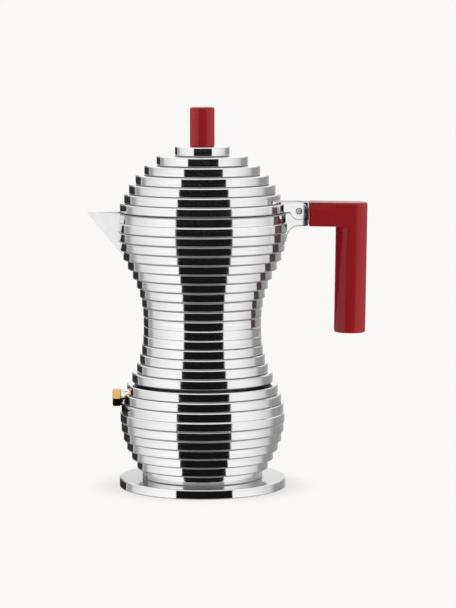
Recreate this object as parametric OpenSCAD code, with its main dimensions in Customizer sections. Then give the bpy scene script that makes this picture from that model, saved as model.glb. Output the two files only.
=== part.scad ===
/* [Stepped rings] */
// Height of one turned ring
ring_h = 4.95; // [4.7:0.05:5.2]
// Chamfer on both edges of every ring
ring_edge = 0.4; // [0.2:0.05:0.6]
// Thickness of the cast wall at the bottom of a step
wall = 2.4; // [2:0.1:3]
// Open joint between boiler and collector
joint_gap = 1.3; // [0.8:0.1:2]
// Extra radius of the ring at the edge of the lid and of the skirt
rim_lip = 0.4; // [0:0.1:0.8]

/* [Outline] */
// Largest diameter of the collector and lid
belly_d = 89.4; // [87:0.2:91]
// How much slimmer the waist is than the threaded neck
waist_tuck = 1.2; // [0.2:0.1:1.6]
// Largest diameter of the boiler
boiler_d = 86.8; // [84:0.2:89]
// Diameter of the foot flange
foot_d = 87.6; // [84:0.2:92]
// Diameter of the ring under the knob
crown_d = 28.6; // [26:0.2:32]
// How much each ring tucks in below the boiler's belly
foot_tuck = 2.8; // [2.4:0.1:3]

/* [Thread and floors] */
// Thickness of the boiler's threaded neck
neck_t = 4.2; // [3.8:0.1:4.6]
// Height of the threaded neck
thread_len = 8; // [7:0.1:8.4]
// Radial play of the coffee basket in the boiler's mouth
basket_play = 0.6; // [0.4:0.1:1]
// Thickness of the boiler's floor
boiler_floor_t = 5; // [3.5:0.1:6]
// Thickness of the collector's floor
collector_floor_t = 2.4; // [2:0.1:3.4]
// Rise of the ceiling over the filter plate
dish_rise = 1.5; // [1:0.1:2.4]

/* [Gasket and filters] */
// Thickness of the gasket
gasket_t = 2.5; // [2:0.1:2.8]
// How far the gasket reaches under the filter plate
gasket_lap = 2.4; // [1.6:0.1:3]
// How far the filter plate reaches past the coffee basket
filter_lap = 1; // [0.5:0.1:1.5]
// Thickness of both perforated plates
plate_t = 0.8; // [0.6:0.1:1]
// Diameter of the filter plate's holes
filter_hole_d = 1.2; // [0.8:0.1:1.6]
// Spacing of the filter plate's hole circles
filter_pitch = 3.7; // [3:0.1:4]
// Diameter of the funnel sieve's holes
sieve_hole_d = 1.6; // [1:0.1:2]
// Spacing of the sieve's hole circles
sieve_pitch = 4.4; // [3.6:0.1:4.6]

/* [Funnel] */
// Inside diameter of the coffee basket
basket_d = 52; // [51:0.2:52.4]
// Depth of the coffee basket
basket_depth = 22; // [18:0.5:24]
// Height of the cone under the basket
cone_h = 9; // [7:0.5:12]
// Outside diameter of the stem
stem_d = 9.2; // [8:0.1:10]
// Gap between the stem and the boiler's floor
stem_lift = 7; // [5:0.5:10]
// Sheet thickness of the funnel
sheet_t = 0.7; // [0.5:0.1:0.9]

/* [Riser column] */
// Height of the column above the collector's floor
column_h = 56; // [45:1:62]
// Diameter of the column at its foot
column_base_d = 12; // [11:0.2:14]
// Diameter of the column at its top
column_top_d = 8.6; // [8:0.2:10]
// Bore of the column
column_bore_d = 5.2; // [4.4:0.2:5.8]
// Height of each coffee port
port_h = 7; // [5:0.5:9]
// Width of each coffee port
port_w = 2.6; // [2:0.1:3.4]

/* [Spout] */
// How far the spout's tip stands out from the belly
spout_out = 16; // [13:0.1:19]
// Height of the spout where its keel meets the body
spout_drop = 23; // [20:0.5:26]
// Half of the angle between the spout's walls
spout_half_angle = 27; // [23:1:31]
// Thickness of the spout's walls
spout_wall = 1.8; // [1.4:0.1:2.2]

/* [Hinge] */
// Distance of the hinge pin from the belly
pin_out = 5.8; // [5.3:0.1:6.3]
// Height of the hinge pin above the collector's mouth
pin_rise = 1.1; // [0.8:0.1:1.4]
// Diameter of the hinge pin
pin_d = 2.6; // [2:0.1:3]
// Radius of the knuckles
knuckle_r = 4.7; // [4.2:0.1:4.8]
// Thickness of the bracket
bracket_t = 7; // [6:0.2:8]
// Thickness of each hinge leaf of the lid
leaf_t = 3; // [2.4:0.1:3.4]
// Radius of the fillet under the bracket
gusset_r = 6.5; // [4:0.5:7.5]

/* [Handle] */
// Distance of the handle's end face from the hinge pin
handle_out = 5.4; // [5.4:0.1:6.2]
// Height of the arm
arm_h = 12.6; // [11.6:0.2:14]
// Diameter of the grip
grip_d = 16.8; // [15:0.2:18]
// Width of the arm
arm_w = 16.2; // [14:0.2:16.4]
// Distance of the grip's centre line from the handle's end face
grip_out = 22.3; // [20:0.1:26]
// Height of the whole handle
handle_h = 68.6; // [62:0.5:76]
// Slope of the arm down towards the grip
handle_slope = 0.8; // [0:0.1:1.4]
// Chamfer along the handle's edges
handle_edge = 0.8; // [0.4:0.1:1.2]
// Length of the bracket's tongue inside the arm
tongue_len = 13; // [11:0.5:15]
// Height of the bracket's tongue
tongue_h = 6; // [5:0.2:6.6]
// Diameter of the handle screw
handle_screw_d = 3.8; // [3:0.1:4.2]

/* [Knob] */
// Diameter of the knob
knob_d = 12.9; // [12:0.1:15]
// Height of the knob
knob_h = 20.5; // [16:0.5:24]
// Rounding of the knob's top edge
knob_round = 1.1; // [0.5:0.1:2]
// Diameter of the knob screw
knob_screw_d = 3.9; // [3:0.1:4.2]
// Length of the threaded insert in the knob
insert_len = 9; // [7:0.5:12]
// Thickness of the lid under the knob
crown_t = 5.5; // [5:0.1:6]

/* [Safety valve] */
// Width across the flats of the valve's hexagon
valve_flats = 8.6; // [8:0.1:10]
// Length of the hexagon
valve_head = 4; // [3.4:0.1:5]
// Gap between the valve's washer and the ring below it
valve_stand = 0.1; // [0.1:0.1:1]
// Diameter of the valve's threaded shank
valve_shank_d = 6; // [5.6:0.1:6.6]
// Length of the threaded shank
valve_shank_len = 6.4; // [6:0.1:7]
// Thickness of the valve's washer
valve_washer_t = 0.6; // [0.4:0.1:0.8]
// Bore of the valve
valve_bore_d = 4; // [3.6:0.1:4.4]
// Diameter of the valve's inlet hole
valve_inlet_d = 2.2; // [1.6:0.1:2.6]
// Diameter of the plunger's stem
valve_stem_d = 1.2; // [1:0.1:1.4]
// Wire diameter of the valve's spring
spring_wire = 0.35; // [0.25:0.05:0.4]

/* [Clearances] */
// Radial clearance of the thread and of the loose seals
thread_clearance = 0.08; // [0.05:0.01:0.1]
// Gap between faces that rest on each other
seat_clearance = 0.05; // [0.02:0.01:0.1]
// Radial clearance of a turning or sliding pin
running_clearance = 0.05; // [0.02:0.01:0.1]
// Gap between the lid and the collector's rim
lid_gap = 0.3; // [0.2:0.05:0.5]
// Gap between a hinge leaf and the bracket
leaf_gap = 0.3; // [0.2:0.05:0.5]

/* [Hidden] */
$fn = 96;
eps = 0.5;

// Small gaps and allowances of the castings and mouldings
handle_face_gap = 0.6;
tongue_play = 0.2;
tongue_slot_play = 0.3;
bracket_sink = 1.6;
loose_hole = 0.4;
plate_play = 0.3;
disc_play = 0.2;

// Ring counts, which give the pot its character
lid_rings = 7;
collector_rings = 18;
boiler_rings = 10;
top_rings = lid_rings + collector_rings;

// Diameters that follow one another from the coffee basket outwards
mouth_d = basket_d + 2 * sheet_t + 2 * basket_play;
thread_d = mouth_d + 2 * neck_t;
waist_d = thread_d - waist_tuck;
filter_d = basket_d + 2 * filter_lap;

// Heights
ledge_z = (boiler_rings + 1) * ring_h;
skirt_z = ledge_z + joint_gap;
mouth_z = skirt_z + collector_rings * ring_h;
crown_z = mouth_z + lid_rings * ring_h;
rim_z = ledge_z + thread_len;
funnel_z = rim_z + seat_clearance + sheet_t;
gasket_z = funnel_z + seat_clearance;
seat_z = gasket_z + gasket_t + seat_clearance;
dish_z = seat_z + plate_t + seat_clearance;
floor_z = dish_z + dish_rise + collector_floor_t;
column_z = floor_z + column_h;

// The outline's curves, counted in rings from the crown or from the boiler's ledge
belly_mid_rings = 8.63;
belly_half_rings = 9.03;
belly_end_rings = 13.2;
waist_mid_rings = 18.97;
waist_half_rings = 11.5;
boiler_mid_rings = 3.53;
boiler_half_rings = 8.77;
tuck_start_rings = 8;
// Depth of the waist's hollow curve, if it went on through a right angle
waist_sweep = 57;

// Hinge, handle and valve places
pin_x = belly_d / 2 + pin_out;
pin_z = mouth_z + pin_rise;
handle_start = pin_x + handle_out;
grip_x = handle_start + grip_out;
bracket_end = handle_start - handle_face_gap;
bracket_top = pin_z + knuckle_r;
bracket_foot = bracket_top - arm_h - tongue_play;
bracket_root = ring_radius(lid_rings + 1) - bracket_sink;
leaf_root = ring_radius(lid_rings) - wall;
leaf_y = bracket_t / 2 + leaf_gap;
pin_len = 2 * (leaf_y + leaf_t);
tongue_mid = (bracket_top + bracket_foot) / 2;
screw_x = handle_start + 0.6 * tongue_len;
valve_ring = 2;
valve_z = ledge_z - (valve_ring - 0.5) * ring_h;
valve_seat = boiler_radius(valve_ring + 1) + valve_stand + valve_washer_t;
shoulder_in = boiler_radius(valve_ring) - wall;

// The spout's keel rises from the body to the tip
spout_reach = belly_d / 2 + spout_out;
keel_end = top_outline(lid_rings + spout_drop / ring_h);
keel_angle = atan(spout_drop / (spout_reach - keel_end));

// A half oval seen from the side: its radius u rings down
function oval(u, mid, semi, r) = r * sqrt(max(0, 1 - pow((u - mid) / semi, 2)));

// The hollow curve of the waist
function waist(u) = waist_d / 2
    + waist_sweep * (1 - sqrt(1 - pow((u - waist_mid_rings) / waist_half_rings, 2)));

// The smooth outline that the steps of lid and collector are cut into, u rings below the crown
function top_outline(u) = u < belly_end_rings ? oval(u, belly_mid_rings, belly_half_rings, belly_d / 2) : waist(u);

// The same for the boiler, u rings below its ledge
function boiler_oval(u) = oval(u, boiler_mid_rings, boiler_half_rings, boiler_d / 2);
function boiler_outline(u) = u < tuck_start_rings
    ? boiler_oval(u)
    : boiler_oval(tuck_start_rings) - foot_tuck * (u - tuck_start_rings);

// Each ring is turned to the smaller of the outline's radii at its two edges
function step_radius(i) = min(top_outline(i - 1), top_outline(i));
function lip(i) = i == lid_rings || i == top_rings ? rim_lip : 0;
function ring_radius(i) = i == 1 ? crown_d / 2 : step_radius(i) + lip(i);
function boiler_radius(i) = i > boiler_rings ? foot_d / 2 : min(boiler_outline(i - 1), boiler_outline(i));

// Inside radius, which stays one wall clear of the deepest step
function top_inside(u) = min(top_outline(max(0, u - 1)), top_outline(min(top_rings, u + 1))) - wall;
function boiler_inside(u) = min(boiler_outline(max(0, u - 1)), boiler_outline(u + 1)) - wall;
function lid_inside(u) = top_outline(u - 1) - wall;

// One ring's edge from top to bottom, chamfered at both corners
function ring_edge_points(r, top, bottom) = [
    [r - ring_edge, top],
    [r, top - ring_edge],
    [r, bottom + ring_edge],
    [r - ring_edge, bottom]
];

function join(lists) = [for (list = lists) for (point = list) point];

// ---------- boiler ----------

module boiler_shell() {
    outside = join([for (i = [1 : boiler_rings + 1])
        ring_edge_points(boiler_radius(i), ledge_z - (i - 1) * ring_h, ledge_z - i * ring_h)]);
    inside = [for (i = [boiler_rings - 1 : -1 : 2]) [boiler_inside(i), ledge_z - i * ring_h]];
    neck_r = thread_d / 2;
    color("silver")
    difference() {
        union() {
            rotate_extrude()
            polygon(concat(
                [[mouth_d / 2, rim_z], [neck_r - ring_edge, rim_z], [neck_r, rim_z - ring_edge],
                 [neck_r, ledge_z]],
                outside,
                [[0, 0], [0, boiler_floor_t], [boiler_inside(boiler_rings - 1) - wall, boiler_floor_t]],
                inside,
                [[mouth_d / 2, ledge_z - wall]]
            ));
            at_valve(shoulder_in)
            cylinder(d = valve_flats + 2 * disc_play, h = valve_seat - valve_washer_t - shoulder_in);
        }
        at_valve(shoulder_in - 2 * wall)
        cylinder(d = valve_shank_d, h = valve_seat - shoulder_in + 2 * wall);
    }
}

// ---------- safety valve, built outwards along its own axis ----------

valve_seat_t = 1;
seal_t = 0.5;
seal_play = 0.25;
plunger_head_t = 0.8;
retainer_t = 0.8;
retainer_depth = 1.2;
stem_recess = 0.5;
hex_chamfer = 0.6;
valve_inner = valve_seat - valve_shank_len;
valve_outer = valve_seat + valve_head;
valve_step = valve_inner + valve_seat_t;
plunger_head = valve_step + seat_clearance + seal_t;
spring_start = plunger_head + plunger_head_t + seat_clearance;
retainer_start = valve_outer - retainer_depth - retainer_t;

// Puts a piece on the valve's axis, from a distance r outwards, towards the spout's side
module at_valve(r) {
    translate([-r, 0, valve_z])
    rotate([0, -90, 0])
    children();
}

module valve_body() {
    corners_d = valve_flats / cos(30);
    color("goldenrod")
    difference() {
        union() {
            at_valve(valve_inner)
            cylinder(d = valve_shank_d, h = valve_shank_len + eps);
            at_valve(valve_seat)
            rotate(90)
            intersection() {
                cylinder(d = corners_d, h = valve_head, $fn = 6);
                union() {
                    cylinder(d = corners_d, h = valve_head - hex_chamfer);
                    translate([0, 0, valve_head - hex_chamfer])
                    cylinder(d1 = corners_d, d2 = corners_d - 3 * hex_chamfer, h = hex_chamfer);
                }
            }
        }
        at_valve(valve_step)
        cylinder(d = valve_bore_d, h = valve_shank_len + valve_head);
        at_valve(valve_inner - eps)
        cylinder(d = valve_inlet_d, h = valve_head);
    }
}

module valve_washer() {
    color("peru")
    at_valve(valve_seat - valve_washer_t)
    linear_extrude(valve_washer_t)
    difference() {
        circle(d = valve_flats - disc_play);
        circle(d = valve_shank_d + disc_play);
    }
}

module valve_seal() {
    color("dimgray")
    at_valve(valve_step + seat_clearance)
    cylinder(d = valve_bore_d - 2 * seal_play, h = seal_t);
}

module valve_plunger() {
    color("gold")
    at_valve(plunger_head)
    union() {
        cylinder(d = valve_bore_d - 2 * running_clearance, h = plunger_head_t);
        cylinder(d = valve_stem_d, h = valve_outer - stem_recess - plunger_head);
    }
}

// A round wire swept along a helix
module valve_spring() {
    turns = 5;
    steps = 12;
    sides = 6;
    coil_r = (valve_bore_d + valve_stem_d) / 4;
    wire_r = spring_wire / 2;
    rise = retainer_start - spring_start - spring_wire;
    count = turns * steps;
    points = [for (k = [0 : count]) for (s = [0 : sides - 1])
        let (turn = 360 * k / steps, side = 360 * s / sides, r = coil_r + wire_r * cos(side))
        [r * cos(turn), r * sin(turn), wire_r + rise * k / count + wire_r * sin(side)]];
    skin = [for (k = [0 : count - 1]) for (s = [0 : sides - 1])
        let (a = k * sides + s, b = k * sides + (s + 1) % sides)
        [a, b, b + sides, a + sides]];
    first = [for (s = [sides - 1 : -1 : 0]) s];
    last = [for (s = [0 : sides - 1]) count * sides + s];
    color("lightsteelblue")
    at_valve(spring_start)
    polyhedron(points = points, faces = concat(skin, [first, last]), convexity = 8);
}

module valve_retainer() {
    color("goldenrod")
    at_valve(retainer_start)
    linear_extrude(retainer_t)
    difference() {
        circle(d = valve_bore_d);
        circle(d = valve_stem_d + 2 * running_clearance);
    }
}

// ---------- funnel ----------

sieve_ledge = 1.6;
flange_inset = 1;
ledge_r = basket_d / 2 - sieve_ledge;
basket_floor = funnel_z - basket_depth;
stem_r = stem_d / 2;
stem_end = boiler_floor_t + stem_lift;

module funnel() {
    basket_r = basket_d / 2;
    flange_r = thread_d / 2 - flange_inset;
    slope_t = 1.4 * sheet_t;
    color("gainsboro")
    rotate_extrude()
    polygon([
        [basket_r, funnel_z],
        [flange_r, funnel_z],
        [flange_r, funnel_z - sheet_t],
        [basket_r + sheet_t, funnel_z - sheet_t],
        [basket_r + sheet_t, basket_floor - sheet_t],
        [ledge_r + sheet_t, basket_floor - sheet_t],
        [stem_r, basket_floor - cone_h - slope_t / 2],
        [stem_r, stem_end],
        [stem_r - sheet_t, stem_end],
        [stem_r - sheet_t, basket_floor - cone_h + slope_t / 2],
        [ledge_r, basket_floor],
        [basket_r, basket_floor]
    ]);
}

// Plain edge outside the last circle of holes
hole_margin = 1.2;

// A disc with circles of holes, six more in each circle than in the last
module perforated_disc(d, hole_d, pitch) {
    circles = floor((d / 2 - hole_margin - hole_d / 2) / pitch);
    linear_extrude(plate_t)
    difference() {
        circle(d = d);
        circle(d = hole_d);
        for (k = [1 : circles]) {
            for (i = [0 : 6 * k - 1]) {
                rotate(60 * i / k)
                translate([k * pitch, 0])
                circle(d = hole_d);
            }
        }
    }
}

module funnel_sieve() {
    color("gainsboro")
    translate([0, 0, basket_floor])
    perforated_disc(basket_d - disc_play, sieve_hole_d, sieve_pitch);
}

// ---------- gasket and filter plate ----------

module gasket() {
    outer_r = (thread_d - flange_inset) / 2;
    inner_r = filter_d / 2 - gasket_lap;
    color("ivory")
    translate([0, 0, gasket_z])
    rotate_extrude()
    translate([inner_r, 0])
    square([outer_r - inner_r, gasket_t]);
}

module filter_plate() {
    color("gainsboro")
    translate([0, 0, seat_z])
    perforated_disc(filter_d, filter_hole_d, filter_pitch);
}

// ---------- collector ----------

// Outside radius of the column's spigot, which is pressed through the collector's floor
spigot_t = 1.2;
spigot_r = column_bore_d / 2 + spigot_t;

module collector_shell() {
    color("silver")
    difference() {
        union() {
            collector_turning();
            spout_beak();
            bracket();
        }
        spout_channel();
        pin_hole(pin_d + 2 * running_clearance);
        handle_screw_hole(handle_screw_d + 2 * running_clearance);
    }
}

module collector_turning() {
    first = lid_rings + 1;
    outside = join([for (i = [first : top_rings])
        ring_edge_points(ring_radius(i), crown_z - (i - 1) * ring_h, crown_z - i * ring_h)]);
    floor_u = (crown_z - floor_z) / ring_h;
    inside = [for (i = [floor(floor_u - 0.5) : -1 : first]) [top_inside(i), crown_z - i * ring_h]];
    bore_r = thread_d / 2 + thread_clearance;
    plate_r = filter_d / 2 + plate_play;
    rotate_extrude()
    polygon(concat(
        [[top_inside(lid_rings), mouth_z]],
        outside,
        [[bore_r, skirt_z], [bore_r, seat_z], [plate_r, seat_z], [plate_r, dish_z],
         [spigot_r, dish_z + dish_rise], [spigot_r, floor_z], [top_inside(floor_u) - wall, floor_z]],
        inside
    ));
}

// A long V-shaped bar that leans along the spout's keel; grow moves its walls outwards
module keel_bar(grow) {
    spread = atan(tan(spout_half_angle) / sin(keel_angle));
    depth = spout_reach;
    length = 1.6 * spout_drop / sin(keel_angle);
    tip_shift = grow / sin(spout_half_angle);
    translate([-spout_reach - tip_shift, 0, mouth_z])
    rotate([0, 90 + keel_angle, 0])
    translate([0, 0, -length])
    linear_extrude(2 * length)
    polygon([[0, 0], [-depth, depth * tan(spread)], [-depth, -depth * tan(spread)]]);
}

// How deep the spout's casting reaches into the collector's wall
spout_sink = 2;

module spout_beak() {
    intersection() {
        keel_bar(0);
        translate([-spout_reach - eps, -belly_d / 2, mouth_z - 1.5 * spout_drop])
        cube([spout_reach - keel_end + spout_sink + eps, belly_d, 1.5 * spout_drop]);
    }
}

module spout_channel() {
    intersection() {
        keel_bar(-spout_wall);
        translate([-spout_reach, -belly_d / 2, mouth_z - 1.5 * spout_drop])
        cube([spout_reach - keel_end + 6 * spout_sink, belly_d, 2 * spout_drop]);
    }
}

module bracket() {
    root_r = ring_radius(lid_rings + 3);
    knuckle = [for (a = [90 : 15 : 180])
        [pin_x + knuckle_r * cos(a), pin_z + knuckle_r * sin(a)]];
    gusset = [for (a = [180 : -15 : 90])
        [root_r + gusset_r + gusset_r * cos(a), bracket_foot - gusset_r + gusset_r * sin(a)]];
    translate([0, bracket_t / 2, 0])
    rotate([90, 0, 0])
    linear_extrude(bracket_t)
    polygon(concat(
        [[bracket_end, bracket_top]],
        knuckle,
        [[pin_x - knuckle_r, mouth_z], [bracket_root, mouth_z],
         [bracket_root, bracket_foot - gusset_r]],
        gusset,
        [[bracket_end, bracket_foot]]
    ));
    translate([bracket_end - eps, -bracket_t / 2, tongue_mid - tongue_h / 2])
    cube([handle_start + tongue_len - bracket_end + eps, bracket_t, tongue_h]);
}

module pin_hole(d) {
    translate([pin_x, 0, pin_z])
    rotate([90, 0, 0])
    cylinder(d = d, h = pin_len + 2 * eps, center = true);
}

module handle_screw_hole(d) {
    translate([screw_x, 0, bracket_foot])
    cylinder(d = d, h = tongue_mid + tongue_h / 2 - bracket_foot);
}

column_foot_t = 1;
column_flare_h = 8;
column_draft = 0.8;
column_cap_t = 2;
column_cap_edge = 1.2;

module riser_column() {
    foot_r = column_base_d / 2;
    top_r = column_top_d / 2;
    bore_r = column_bore_d / 2;
    color("silver")
    difference() {
        rotate_extrude()
        polygon([
            [bore_r, dish_z + dish_rise],
            [spigot_r, dish_z + dish_rise],
            [spigot_r, floor_z],
            [foot_r, floor_z],
            [foot_r, floor_z + column_foot_t],
            [top_r + column_draft, floor_z + column_flare_h],
            [top_r, column_z - column_cap_edge],
            [top_r - column_cap_edge, column_z],
            [0, column_z],
            [0, column_z - column_cap_t],
            [bore_r, column_z - column_cap_t]
        ]);
        translate([-column_base_d, -port_w / 2, column_z - column_cap_t - 1 - port_h])
        cube([2 * column_base_d, port_w, port_h]);
    }
}

module hinge_pin() {
    tip = leaf_gap;
    color("lightsteelblue")
    translate([pin_x, pin_len / 2 + tip, pin_z])
    rotate([90, 0, 0])
    rotate_extrude()
    polygon([
        [0, 0],
        [pin_d / 2 - tip, 0],
        [pin_d / 2, tip],
        [pin_d / 2, pin_len + tip],
        [pin_d / 2 - tip, pin_len + 2 * tip],
        [0, pin_len + 2 * tip]
    ]);
}

// ---------- handle ----------

screw_head_d = 1.75 * handle_screw_d;
screw_head_h = 2;
screw_sink = 0.3;
slot_w = 1;
slot_depth = 1;
arm_bottom = bracket_top - arm_h;

// Tilts the moulding about the middle of its end face
module handle_tilt() {
    translate([handle_start, 0, tongue_mid])
    rotate([0, handle_slope, 0])
    translate([-handle_start, 0, -tongue_mid])
    children();
}

module handle() {
    slot = bracket_t + tongue_slot_play;
    color("firebrick")
    difference() {
        handle_tilt()
        union() {
            arm();
            grip();
        }
        translate([handle_start - eps, -slot / 2, tongue_mid - tongue_h / 2 - tongue_play])
        cube([tongue_len + eps + tongue_slot_play, slot, tongue_h + 2 * tongue_play]);
        translate([screw_x, 0, arm_bottom - handle_edge])
        cylinder(d = handle_screw_d + disc_play, h = tongue_mid - arm_bottom + handle_edge);
        translate([screw_x, 0, arm_bottom - handle_edge])
        cylinder(d = screw_head_d + loose_hole, h = handle_edge + screw_head_h);
    }
}

module arm() {
    half = arm_w / 2;
    e = handle_edge;
    intersection() {
        translate([handle_start, 0, arm_bottom])
        rotate([90, 0, 90])
        linear_extrude(grip_x - handle_start)
        polygon([
            [e - half, 0], [half - e, 0], [half, e], [half, arm_h - e],
            [half - e, arm_h], [e - half, arm_h], [-half, arm_h - e], [-half, e]
        ]);
        translate([0, 0, arm_bottom - 1])
        linear_extrude(arm_h + 2)
        polygon([
            [handle_start, e - half], [handle_start + e, -half], [grip_x + 1, -half],
            [grip_x + 1, half], [handle_start + e, half], [handle_start, half - e]
        ]);
    }
}

module grip() {
    r = grip_d / 2;
    e = handle_edge;
    translate([grip_x, 0, bracket_top - handle_h])
    rotate_extrude()
    polygon([[0, 0], [r - e, 0], [r, e], [r, handle_h - e], [r - e, handle_h], [0, handle_h]]);
}

module handle_screw() {
    top = tongue_mid + tongue_h / 2 - screw_sink;
    color("lightsteelblue")
    difference() {
        translate([screw_x, 0, arm_bottom])
        rotate_extrude()
        polygon([
            [0, screw_sink],
            [screw_head_d / 2, screw_sink],
            [screw_head_d / 2, screw_head_h],
            [handle_screw_d / 2, screw_head_h],
            [handle_screw_d / 2, top - arm_bottom],
            [0, top - arm_bottom]
        ]);
        translate([screw_x - screw_head_d, -slot_w / 2, arm_bottom - eps])
        cube([2 * screw_head_d, slot_w, eps + slot_depth]);
    }
}

// ---------- lid ----------

module lid_shell() {
    color("silver")
    difference() {
        union() {
            lid_turning();
            for (side = [-1, 1]) {
                leaf(side);
            }
        }
        pin_hole(pin_d + 2 * running_clearance);
        translate([0, 0, crown_z - 2 * crown_t])
        cylinder(d = knob_screw_d + loose_hole, h = 3 * crown_t);
    }
}

module lid_turning() {
    lid_z = mouth_z + lid_gap;
    bottom = function (i) i == lid_rings ? lid_z : crown_z - i * ring_h;
    outside = join([for (i = [1 : lid_rings])
        ring_edge_points(ring_radius(i), crown_z - (i - 1) * ring_h, bottom(i))]);
    inside = [for (u = [lid_rings - 1 : -1 : 2]) [lid_inside(u), crown_z - u * ring_h]];
    rotate_extrude()
    polygon(concat(
        [[0, crown_z]],
        outside,
        [[lid_inside(lid_rings), lid_z]],
        inside,
        [[crown_d / 2 - wall, crown_z - crown_t], [0, crown_z - crown_t]]
    ));
}

// One of the two hinge leaves, beside the bracket
module leaf(side) {
    knuckle = [for (a = [90 : -15 : -165])
        [pin_x + knuckle_r * cos(a), pin_z + knuckle_r * sin(a)]];
    translate([0, side * (leaf_y + leaf_t / 2) + leaf_t / 2, 0])
    rotate([90, 0, 0])
    linear_extrude(leaf_t)
    polygon(concat(
        [[leaf_root, bracket_top]],
        knuckle,
        [[pin_x - knuckle_r, mouth_z + lid_gap], [leaf_root, mouth_z + lid_gap]]
    ));
}

// Thickness of the knob insert's wall
insert_t = 1.3;

module knob() {
    r = knob_d / 2;
    rounding = [for (a = [0 : 15 : 90])
        [r - knob_round * (1 - cos(a)), knob_h - knob_round * (1 - sin(a))]];
    color("firebrick")
    translate([0, 0, crown_z])
    difference() {
        rotate_extrude()
        polygon(concat([[0, 0], [r, 0]], rounding, [[0, knob_h]]));
        translate([0, 0, -eps])
        cylinder(d = knob_screw_d + 2 * insert_t, h = insert_len + eps);
    }
}

module knob_insert() {
    color("goldenrod")
    translate([0, 0, crown_z])
    linear_extrude(insert_len)
    difference() {
        circle(d = knob_screw_d + 2 * insert_t);
        circle(d = knob_screw_d + 2 * running_clearance);
    }
}

knob_washer_t = 0.8;
knob_head_h = 2.4;
knob_head_edge = 1;
insert_spare = 1;

module knob_screw() {
    head_r = knob_screw_d;
    under = crown_z - crown_t - knob_washer_t;
    top = crown_z + insert_len - insert_spare;
    color("lightsteelblue")
    difference() {
        rotate_extrude()
        polygon([
            [0, under - knob_head_h],
            [head_r - knob_head_edge, under - knob_head_h],
            [head_r, under - knob_head_h + knob_head_edge],
            [head_r, under],
            [knob_screw_d / 2, under],
            [knob_screw_d / 2, top],
            [0, top]
        ]);
        translate([-knob_screw_d, -slot_w / 2, under - knob_head_h - eps])
        cube([2 * knob_screw_d, slot_w, eps + slot_depth]);
    }
}

module knob_washer() {
    color("lightsteelblue")
    translate([0, 0, crown_z - crown_t - knob_washer_t])
    linear_extrude(knob_washer_t)
    difference() {
        circle(d = 2.6 * knob_screw_d);
        circle(d = knob_screw_d + loose_hole);
    }
}

boiler_shell();
valve_body();
valve_washer();
valve_seal();
valve_plunger();
valve_spring();
valve_retainer();
funnel();
funnel_sieve();
gasket();
filter_plate();
collector_shell();
riser_column();
hinge_pin();
handle();
handle_screw();
lid_shell();
knob();
knob_insert();
knob_screw();
knob_washer();
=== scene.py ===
# %% [markdown]
# # A moka pot of stacked rings
# A moka pot is three castings: a boiler, a collector with a spout that screws onto it, and a hinged
# lid. This one is turned into a stack of shallow rings, mirror bright, with a red handle and knob.
# The working model comes in as a fixed frame. Every piece made here takes its size from that frame,
# so a changed model changes the looks with it, and nothing has to be fitted by hand.

# %% Load the frame
import math

import bmesh
import bpy
from mathutils import Matrix, Vector


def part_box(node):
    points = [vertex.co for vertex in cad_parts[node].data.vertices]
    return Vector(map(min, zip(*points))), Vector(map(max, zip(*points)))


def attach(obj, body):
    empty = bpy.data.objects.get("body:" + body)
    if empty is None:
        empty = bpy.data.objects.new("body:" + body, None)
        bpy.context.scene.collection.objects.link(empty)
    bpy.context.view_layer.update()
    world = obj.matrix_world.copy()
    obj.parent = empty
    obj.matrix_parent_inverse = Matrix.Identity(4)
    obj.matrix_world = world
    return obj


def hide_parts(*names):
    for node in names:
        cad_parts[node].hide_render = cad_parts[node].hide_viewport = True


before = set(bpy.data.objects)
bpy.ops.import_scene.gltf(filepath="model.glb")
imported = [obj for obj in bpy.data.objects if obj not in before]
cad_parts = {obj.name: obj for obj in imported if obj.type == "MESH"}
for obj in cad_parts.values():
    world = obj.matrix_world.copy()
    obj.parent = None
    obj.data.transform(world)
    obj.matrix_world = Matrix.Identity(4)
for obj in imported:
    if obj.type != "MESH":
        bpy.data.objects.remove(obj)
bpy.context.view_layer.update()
MM = 0.001

# %% [markdown]
# ## The camera
# A long lens far away keeps the rings nearly flat lines. The camera stands a little above the pot
# and looks down on it, so the ledges show as thin bright curves. It is made first, because the
# mirror finish later depends on what stands round the camera.


# %% Camera
def put_in_scene(name, data):
    """An object for a mesh, a camera or a lamp, linked to the scene."""
    thing = bpy.data.objects.new(name, data)
    bpy.context.scene.collection.objects.link(thing)
    return thing


IMAGE_HEIGHT = 608
SENSOR = 36
focal_pixels = 2700
camera_distance = 1.413
camera_height = 0.2473
camera_tilt = math.radians(6.09)
camera_pan = math.radians(0.545)

camera_data = bpy.data.cameras.new("camera")
camera_data.sensor_width = SENSOR
camera_data.lens = focal_pixels * SENSOR / IMAGE_HEIGHT
camera_data.clip_end = 100
camera = put_in_scene("camera", camera_data)
camera.location = (0, -camera_distance, camera_height)
camera.rotation_euler = (math.pi / 2 - camera_tilt, 0, -camera_pan)
bpy.context.scene.camera = camera
bpy.context.scene.view_settings.view_transform = "Standard"
print("lens in mm:", round(camera_data.lens, 1))

# %% [markdown]
# ## Small helpers for shader nodes and meshes
# A material is a graph. Small helpers keep the graphs short to write: one adds a node and fills its
# sockets, and others make the few nodes that come back often, and start and end a material. The last
# helper turns lists of points and faces into a mesh.


# %% Node helpers
def add_node(tree, kind, inputs=None, output=0, **options):
    """Adds a shader node, fills its inputs with values or sockets, and gives one of its outputs."""
    node = tree.nodes.new("ShaderNode" + kind)
    for option, value in options.items():
        setattr(node, option, value)
    for socket, value in (inputs or {}).items():
        if isinstance(value, bpy.types.NodeSocket):
            tree.links.new(value, node.inputs[socket])
        else:
            node.inputs[socket].default_value = value
    return node.outputs[output] if node.outputs else None


def maths(tree, operation, a, b=0.0):
    """A sum, a product or another step of arithmetic."""
    return add_node(tree, "Math", {0: a, 1: b}, operation=operation)


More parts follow.
